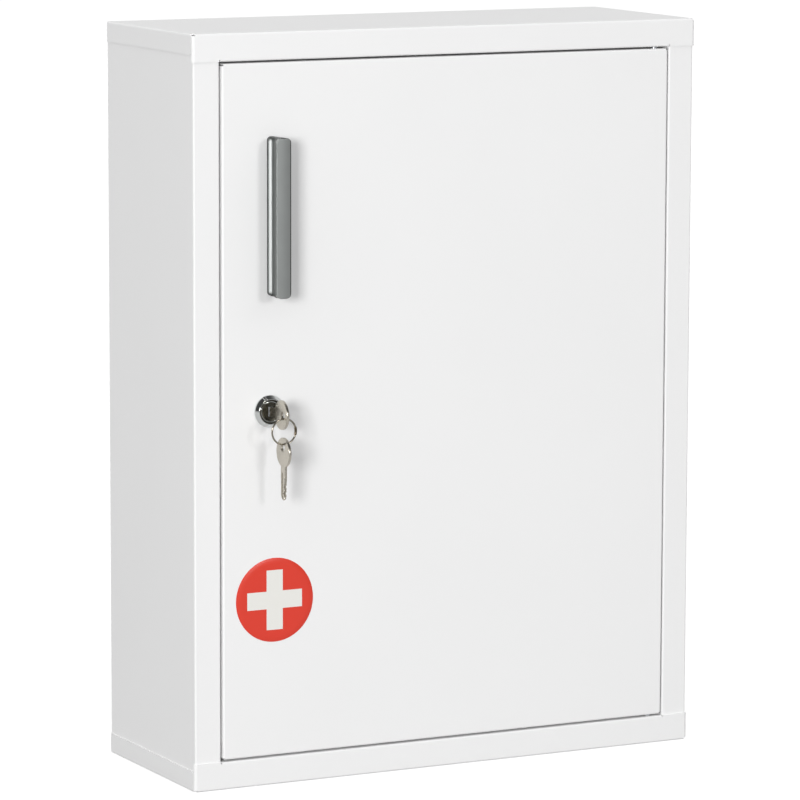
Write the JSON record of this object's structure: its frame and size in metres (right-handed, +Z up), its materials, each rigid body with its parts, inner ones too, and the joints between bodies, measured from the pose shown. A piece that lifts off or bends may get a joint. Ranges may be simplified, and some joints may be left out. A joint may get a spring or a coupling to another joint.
{
  "type": "medicine cabinet",
  "caption": "Wall-mounted medicine cabinet of folded sheet steel with a hinged door, inner shelves, a bar handle and a cam lock, its key in place and a spare key hanging on a ring.",
  "frame": {"origin": "centre of the flat back that meets the wall", "axes": "+Z up; the door faces -Y and the back +Y; +X is the hinge side, -X the lock side, seen from the front"},
  "size_m": [0.343, 0.1564, 0.457],
  "materials": {
    "white_powder_coat": "semi-gloss",
    "satin_metal": "satin",
    "chrome_plate": "polished",
    "dark_zinc": "satin",
    "nickel_plate": "brushed",
    "zinc_plate": "bright",
    "brass": "stamped",
    "white_nylon": "matt",
    "red_vinyl": "gloss"
  },
  "bodies": {
    "carcass": {"cabinet_shell": "white_powder_coat", "top_cap": "white_powder_coat", "bottom_cap": "white_powder_coat", "upper_shelf": "white_powder_coat", "lower_shelf": "white_powder_coat", "upper_left_runner": "white_powder_coat", "upper_right_runner": "white_powder_coat", "lower_left_runner": "white_powder_coat", "lower_right_runner": "white_powder_coat", "top_hinge_bush": "white_nylon", "bottom_hinge_bush": "white_nylon"},
    "door": {"door_panel": "white_powder_coat", "top_hinge_pin": "zinc_plate", "bottom_hinge_pin": "zinc_plate", "handle": "satin_metal", "handle_screws": "zinc_plate", "handle_washers": "zinc_plate", "first_aid_sticker": "red_vinyl", "lock_body": "chrome_plate", "lock_washer": "zinc_plate", "lock_nut": "zinc_plate"},
    "plug": {"lock_plug": "dark_zinc", "lock_wafers": "brass", "stop_washer": "zinc_plate", "lock_cam": "zinc_plate", "cam_spring_washer": "zinc_plate", "cam_screw": "zinc_plate"},
    "key": {"lock_key": "nickel_plate"},
    "ring": {"key_ring": "nickel_plate"},
    "spare": {"spare_key": "nickel_plate"}
  },
  "joints": [
    {"name": "door_hinge", "type": "hinge", "parent": "carcass", "child": "door", "pos_m": [0.1449, -0.1226, 0], "axis": [0, 0, 1], "range_deg": [0, 120]},
    {"name": "lock_turn", "type": "hinge", "parent": "door", "child": "plug", "pos_m": [-0.1216, -0.127, 0.0009], "axis": [0, 1, 0], "range_deg": [0, 90]},
    {"name": "key_slide", "type": "slide", "parent": "plug", "child": "key", "axis": [0, -1, 0], "range_m": [0, 0.02]},
    {"name": "ring_swing", "type": "hinge", "parent": "key", "child": "ring", "pos_m": [-0.1216, -0.1475, -0.00095], "axis": [1, 0, 0], "range_deg": [-90, 8]},
    {"name": "spare_swing", "type": "hinge", "parent": "ring", "child": "spare", "pos_m": [-0.1216, -0.1475, -0.01655], "axis": [1, 0, 0], "range_deg": [-60, 15]}
  ]
}
